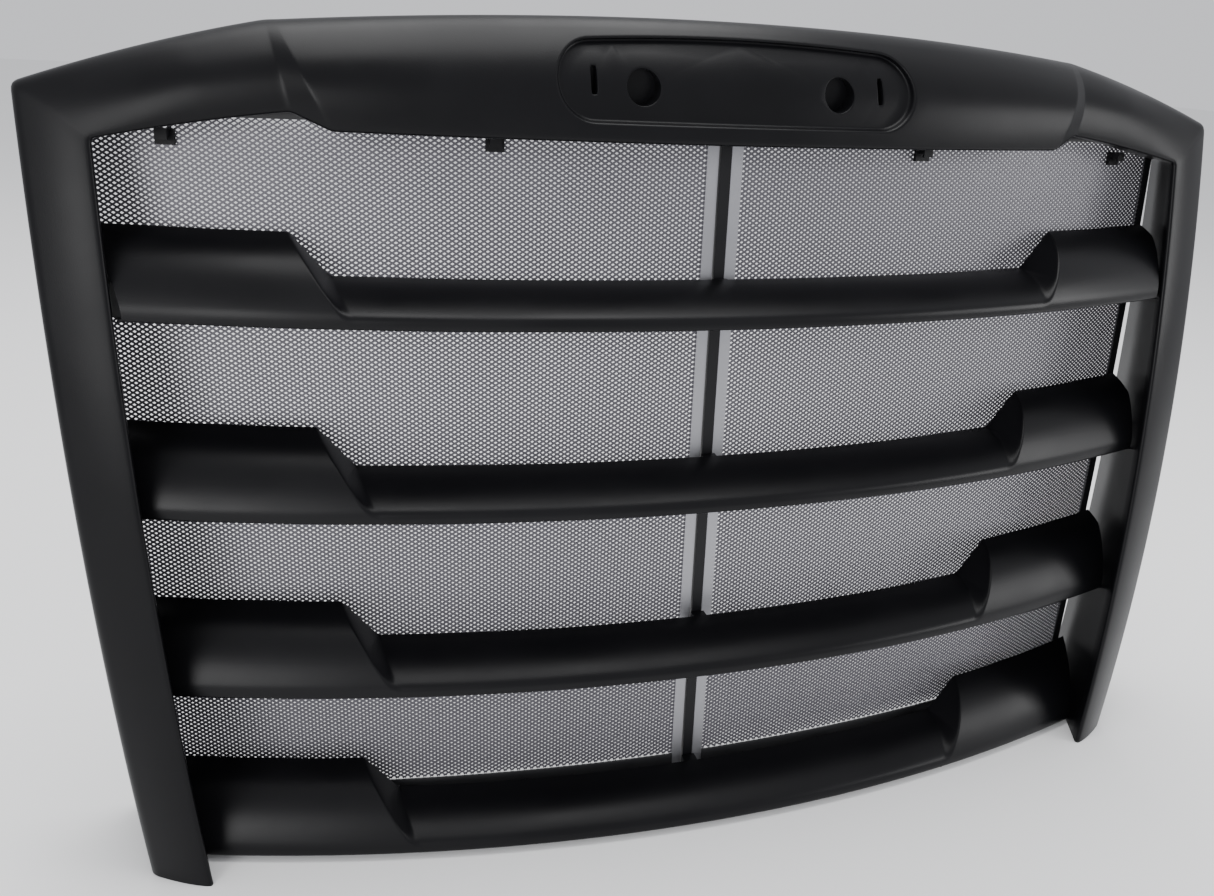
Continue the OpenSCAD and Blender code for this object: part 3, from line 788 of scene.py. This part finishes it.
def louver_half(k):
    """Grid of the right half of louver k: columns from the middle out, rows up the section."""
    z0, y0, wing_x = louver_facts(k)
    step_x = wing_x - slant
    feet = half_columns(step_x)
    share_wing = ease((feet - step_x + wall_run * 0.75) / wall_run)[:, None]
    lean = (ease((feet - step_x + 0.085) / 0.08) * (1 - ease((feet - step_x - 0.004) / 0.112)))[:, None]
    depth = scoop_section[:, 0] + (wing_section - scoop_section)[:, 0] * share_wing
    height = scoop_section[:, 1] + (wing_section - scoop_section)[:, 1] * share_wing
    x = feet[:, None] + slant * height / wing_h * lean
    far_depth, far_height = np.repeat(depth[-1:], 9, 0), np.repeat(height[-1:], 9, 0)
    t = np.linspace(0, 1, 10)[1:, None]
    end_x = np.full(depth.shape[1], 0.5)
    for _ in range(6):
        y = y0 + lip_bow_r - np.sqrt((lip_bow_r - depth[-1]) ** 2 - end_x ** 2)
        end_x = np.minimum(pillar_wall_x(z0, y), pillar_wall_x(z0 + wing_h, y)) - 0.0025
        end_x = np.minimum(end_x, louver_reach)
    x = np.concatenate([x, x[-1] * (1 - t) + end_x * t])
    depth, height = np.concatenate([depth, far_depth]), np.concatenate([height, far_height])
    drop = np.linspace(1, 0, 6)[1:, None]
    x = np.concatenate([x, np.repeat(x[-1:], 5, 0)])
    depth = np.concatenate([depth, np.repeat(depth[-1:], 5, 0)])
    height = np.concatenate([height, height[-1:] * drop])
    y = y0 + lip_bow_r - np.sqrt((lip_bow_r - depth) ** 2 - x ** 2)
    return np.stack([x, y, z0 + height], axis=-1)


def box_of(low, high):
    """Six quads of a box, each facing out."""
    x, y, z = zip(low, high)
    corners = np.array([(a, b, c) for a in x for b in y for c in z])
    quads = np.array([(0, 1, 3, 2), (4, 6, 7, 5), (0, 4, 5, 1), (2, 3, 7, 6), (0, 2, 6, 4), (1, 5, 7, 3)])
    return corners, quads


print("columns in half a louver:", len(half_columns(0.33)) + 14)

# %% [markdown]
# Behind the front a louver is hollow, with thin fins that stop it from flexing. A fin fills the
# section at one column: from the front's back down to the level of the lip.

# %% Louvers with fins and centre lugs
fin_feet = (0.059, 0.177, 0.285, 0.447)
made_louvers = []
for k, name in enumerate(names):
    half_grid = louver_half(k)
    whole_grid = np.concatenate([half_grid[:0:-1] * mirror_x, half_grid])
    shape = [thicken(weld([patch(whole_grid, turned=True)]), wall)]
    z0, y0, wing_x = louver_facts(k)
    feet = half_columns(wing_x - slant)
    for foot_x in fin_feet:
        column = half_grid[int(np.argmin(np.abs(feet - foot_x)))][7:]
        column = column + np.array([0, 0.0025, -0.001])
        t = np.linspace(0, 1, 5)[:, None, None]
        fin = column[None] * (1 - t) + (column * np.array([1, 1, 0]) + np.array([0, 0, z0 + 0.0005])) * t
        for side in (1, -1):
            shape.append(thicken(weld([patch(fin * np.array([side, 1, 1]))]), 0.002))
    lug_z = z0 + scoop_h - 0.014
    rib_face = screen_y(0, lug_z) - 0.004 - 0.0006
    shape.append(box_of((-0.007, y0 + scoop_depth - 0.010, lug_z), (0.007, rib_face, lug_z + 0.013)))
    made_louvers.append(piece(f"louver_moulding_{k + 1}", weld(shape), "root",
                              name, louver_black, sharp=42))

# %% [markdown]
# ## The insect screens
# The real screens are sheet metal slit and punched into small staggered diamonds. A see-through
# texture would be lighter, but it has no thickness and it shows from the side. Here the diamonds
# are what is left between two families of slanting strands. A strand is a thin square bar that
# follows the bow, so a few hundred of them make tens of thousands of real holes.

# %% The bowed and leaning sheet
mesh_pitch = (0.0068, 0.0044)
strand_w, sheet_t = 0.0018, 0.0012
sheet_low_w, sheet_high_w = -0.638, 0.028
hem_w, edge_w, low_strip, top_strip = 0.011, 0.012, 0.014, 0.012
screen_inner = 0.0063


def on_sheet(x, w, behind):
    """A point of the right screen: x across, w up its lean from the hinge line, and a distance
    behind its middle. The bow is worked out first, then the whole sheet leans back."""
    y = bow(x, screen_bow_r) + behind
    return np.stack([x, screen_top[0] + y * math.cos(screen_lean) + w * math.sin(screen_lean),
                     screen_top[1] - y * math.sin(screen_lean) + w * math.cos(screen_lean)], axis=-1)


def screen_edge(w):
    """The screen's curved outer edge at height w."""
    return swell(0.533, 0.543, 0.009, (w - sheet_low_w) / (sheet_high_w - sheet_low_w))


low_w, high_w = sheet_low_w + low_strip, sheet_high_w - top_strip
left_x = screen_inner + hem_w
print("sheet", round(float(screen_edge(0.0)) - edge_w - left_x, 3), "m wide")

# %% Strands of the perforated sheet
strand_steps = 12


def strands(rise):
    """All strands of one slant: each starts on the sheet's bottom or inner side, climbs by the
    rise per unit of x, and is cut where it meets the far side. A strand is a square bar: four
    corners at every step, and caps at its ends."""
    slope = abs(rise)
    x_far = float(screen_edge(-0.3)) - edge_w
    offsets = np.arange(left_x - (high_w - low_w) / slope, x_far, mesh_pitch[0]) + mesh_pitch[0] / 2
    start_x = np.maximum(offsets, left_x)
    end_x = np.minimum(offsets + (high_w - low_w) / slope, x_far + 0.006)
    for _ in range(8):
        end_w = low_w + (end_x - offsets) * slope
        if rise < 0:
            end_w = high_w - (end_x - offsets) * slope
        end_x = np.minimum(end_x, np.minimum(offsets + (high_w - low_w) / slope,
                                             screen_edge(end_w) - edge_w))
    keep = end_x - start_x > 0.002
    offsets, start_x, end_x = offsets[keep], start_x[keep], end_x[keep]
    t = np.linspace(0, 1, strand_steps + 1)
    x = start_x[:, None] * (1 - t) + end_x[:, None] * t
    w = low_w + (x - offsets[:, None]) * slope
    if rise < 0:
        w = high_w - (x - offsets[:, None]) * slope
    length = math.hypot(1, rise)
    off_x, off_w = -rise / length * strand_w / 2, 1 / length * strand_w / 2
    corners = [(off_x, off_w, -1), (off_x, off_w, 1), (-off_x, -off_w, 1), (-off_x, -off_w, -1)]
    lift = 0.0001 if rise > 0 else -0.0001
    ring = np.stack([on_sheet(x + dx, np.clip(w + dw, low_w, high_w), s * sheet_t / 2 + lift)
                     for dx, dw, s in corners], axis=2)
    count, steps = ring.shape[:2]
    base = (np.arange(count)[:, None] * steps + np.arange(steps - 1)).reshape(-1, 1) * 4
    sides = [base + np.array([c, (c + 1) % 4, (c + 1) % 4 + 4, c + 4]) for c in range(4)]
    first_ring = np.arange(count)[:, None] * steps * 4
    caps = [first_ring + np.array([3, 2, 1, 0]), first_ring + (steps - 1) * 4 + np.array([0, 1, 2, 3])]
    quads = np.concatenate(sides + caps)
    return ring.reshape(-1, 3), quads[:, ::-1]


def joined(shapes):
    """Several shapes as one, without welding them."""
    starts = np.cumsum([0] + [len(p) for p, _ in shapes[:-1]])
    return np.vstack([p for p, _ in shapes]), np.vstack([q + s for (_, q), s in zip(shapes, starts)])


def mirrored(shape):
    """The shape on the other side of the middle, its quads turned round to face out again."""
    points, quads = shape
    return points * mirror_x, quads[:, ::-1]


climb = mesh_pitch[1] / mesh_pitch[0]
lattice = joined([strands(climb), strands(-climb)])
for side_name, shape in (("right", lattice), ("left", mirrored(lattice))):
    piece(f"screen_lattice_{side_name}", shape, f"screen_{side_name}",
          f"screen_mesh_{side_name}", screen_grey, sharp=30)

# %% [markdown]
# The lattice is held by a folded black strip along three sides. Each strip is a bowed ribbon
# between two lines on the leaning sheet, with a wall of its own, so it stands a little proud of
# the strands on both faces, as a folded edge does.

# %% Edge strips
strip_t = 0.0036


def ribbon(inner, outer, rows):
    """A strip between an inner and an outer line of (x, w) points, crowned across its width."""
    t = np.linspace(0, 1, rows)[:, None, None]
    flat = inner[None] * (1 - t) + outer[None] * t
    crown = 0.0008 * (1 - (2 * t[..., 0] - 1) ** 4)
    return thicken(weld([patch(on_sheet(flat[..., 0], flat[..., 1], -strip_t / 2 + 0.0008 - crown),
                               turned=True)]), strip_t - 0.0008)


w_line = np.linspace(sheet_low_w, sheet_high_w, 60)
edge_line = np.stack([screen_edge(w_line), w_line], axis=-1)
x_line = np.linspace(left_x, float(screen_edge(sheet_low_w)) - edge_w, 60)
top_x_line = np.linspace(left_x, float(screen_edge(sheet_high_w)) - edge_w, 60)
strips = [
    ribbon(edge_line - np.array([edge_w, 0]), edge_line, 9),
    ribbon(np.stack([x_line, np.full(60, low_w)], -1)[::-1],
           np.stack([x_line, np.full(60, sheet_low_w)], -1)[::-1], 9),
    ribbon(np.stack([top_x_line, np.full(60, high_w)], -1),
           np.stack([top_x_line, np.full(60, sheet_high_w)], -1), 9)]
edging = joined(strips)
for side_name, shape in (("right", edging), ("left", mirrored(edging))):
    piece(f"screen_edging_{side_name}", shape, f"screen_{side_name}",
          f"screen_frame_{side_name}", edge_black, sharp=40)


# %% [markdown]
# ## Parts whose CAD shape is already right
# The screens' hems, the centre rib, the clips, the brackets and the screws are
# plain folded or moulded parts. Modelling them again would add nothing, so they keep their CAD
# shape and get a grained, slightly uneven finish through their objects' material slots.

# %% Finishes on the CAD's own parts
carried = {"centre_rib": rib_black, "rib_screws": screw_black, "bracket_screws": screw_black}
for side in ("left", "right"):
    carried[f"louver_screws_{side}"] = screw_black
    carried[f"mount_bracket_{side}"] = zinc
    carried[f"screen_hem_{side}"] = hem_grey
    for place in ("top_inner", "top_outer", "low_inner", "low_outer"):
        carried[f"clip_{place}_{side}"] = clip_black
for name, material in carried.items():
    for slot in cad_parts[name].material_slots:
        slot.link = "OBJECT"
        slot.material = material
print("carried-over parts:", len(carried))
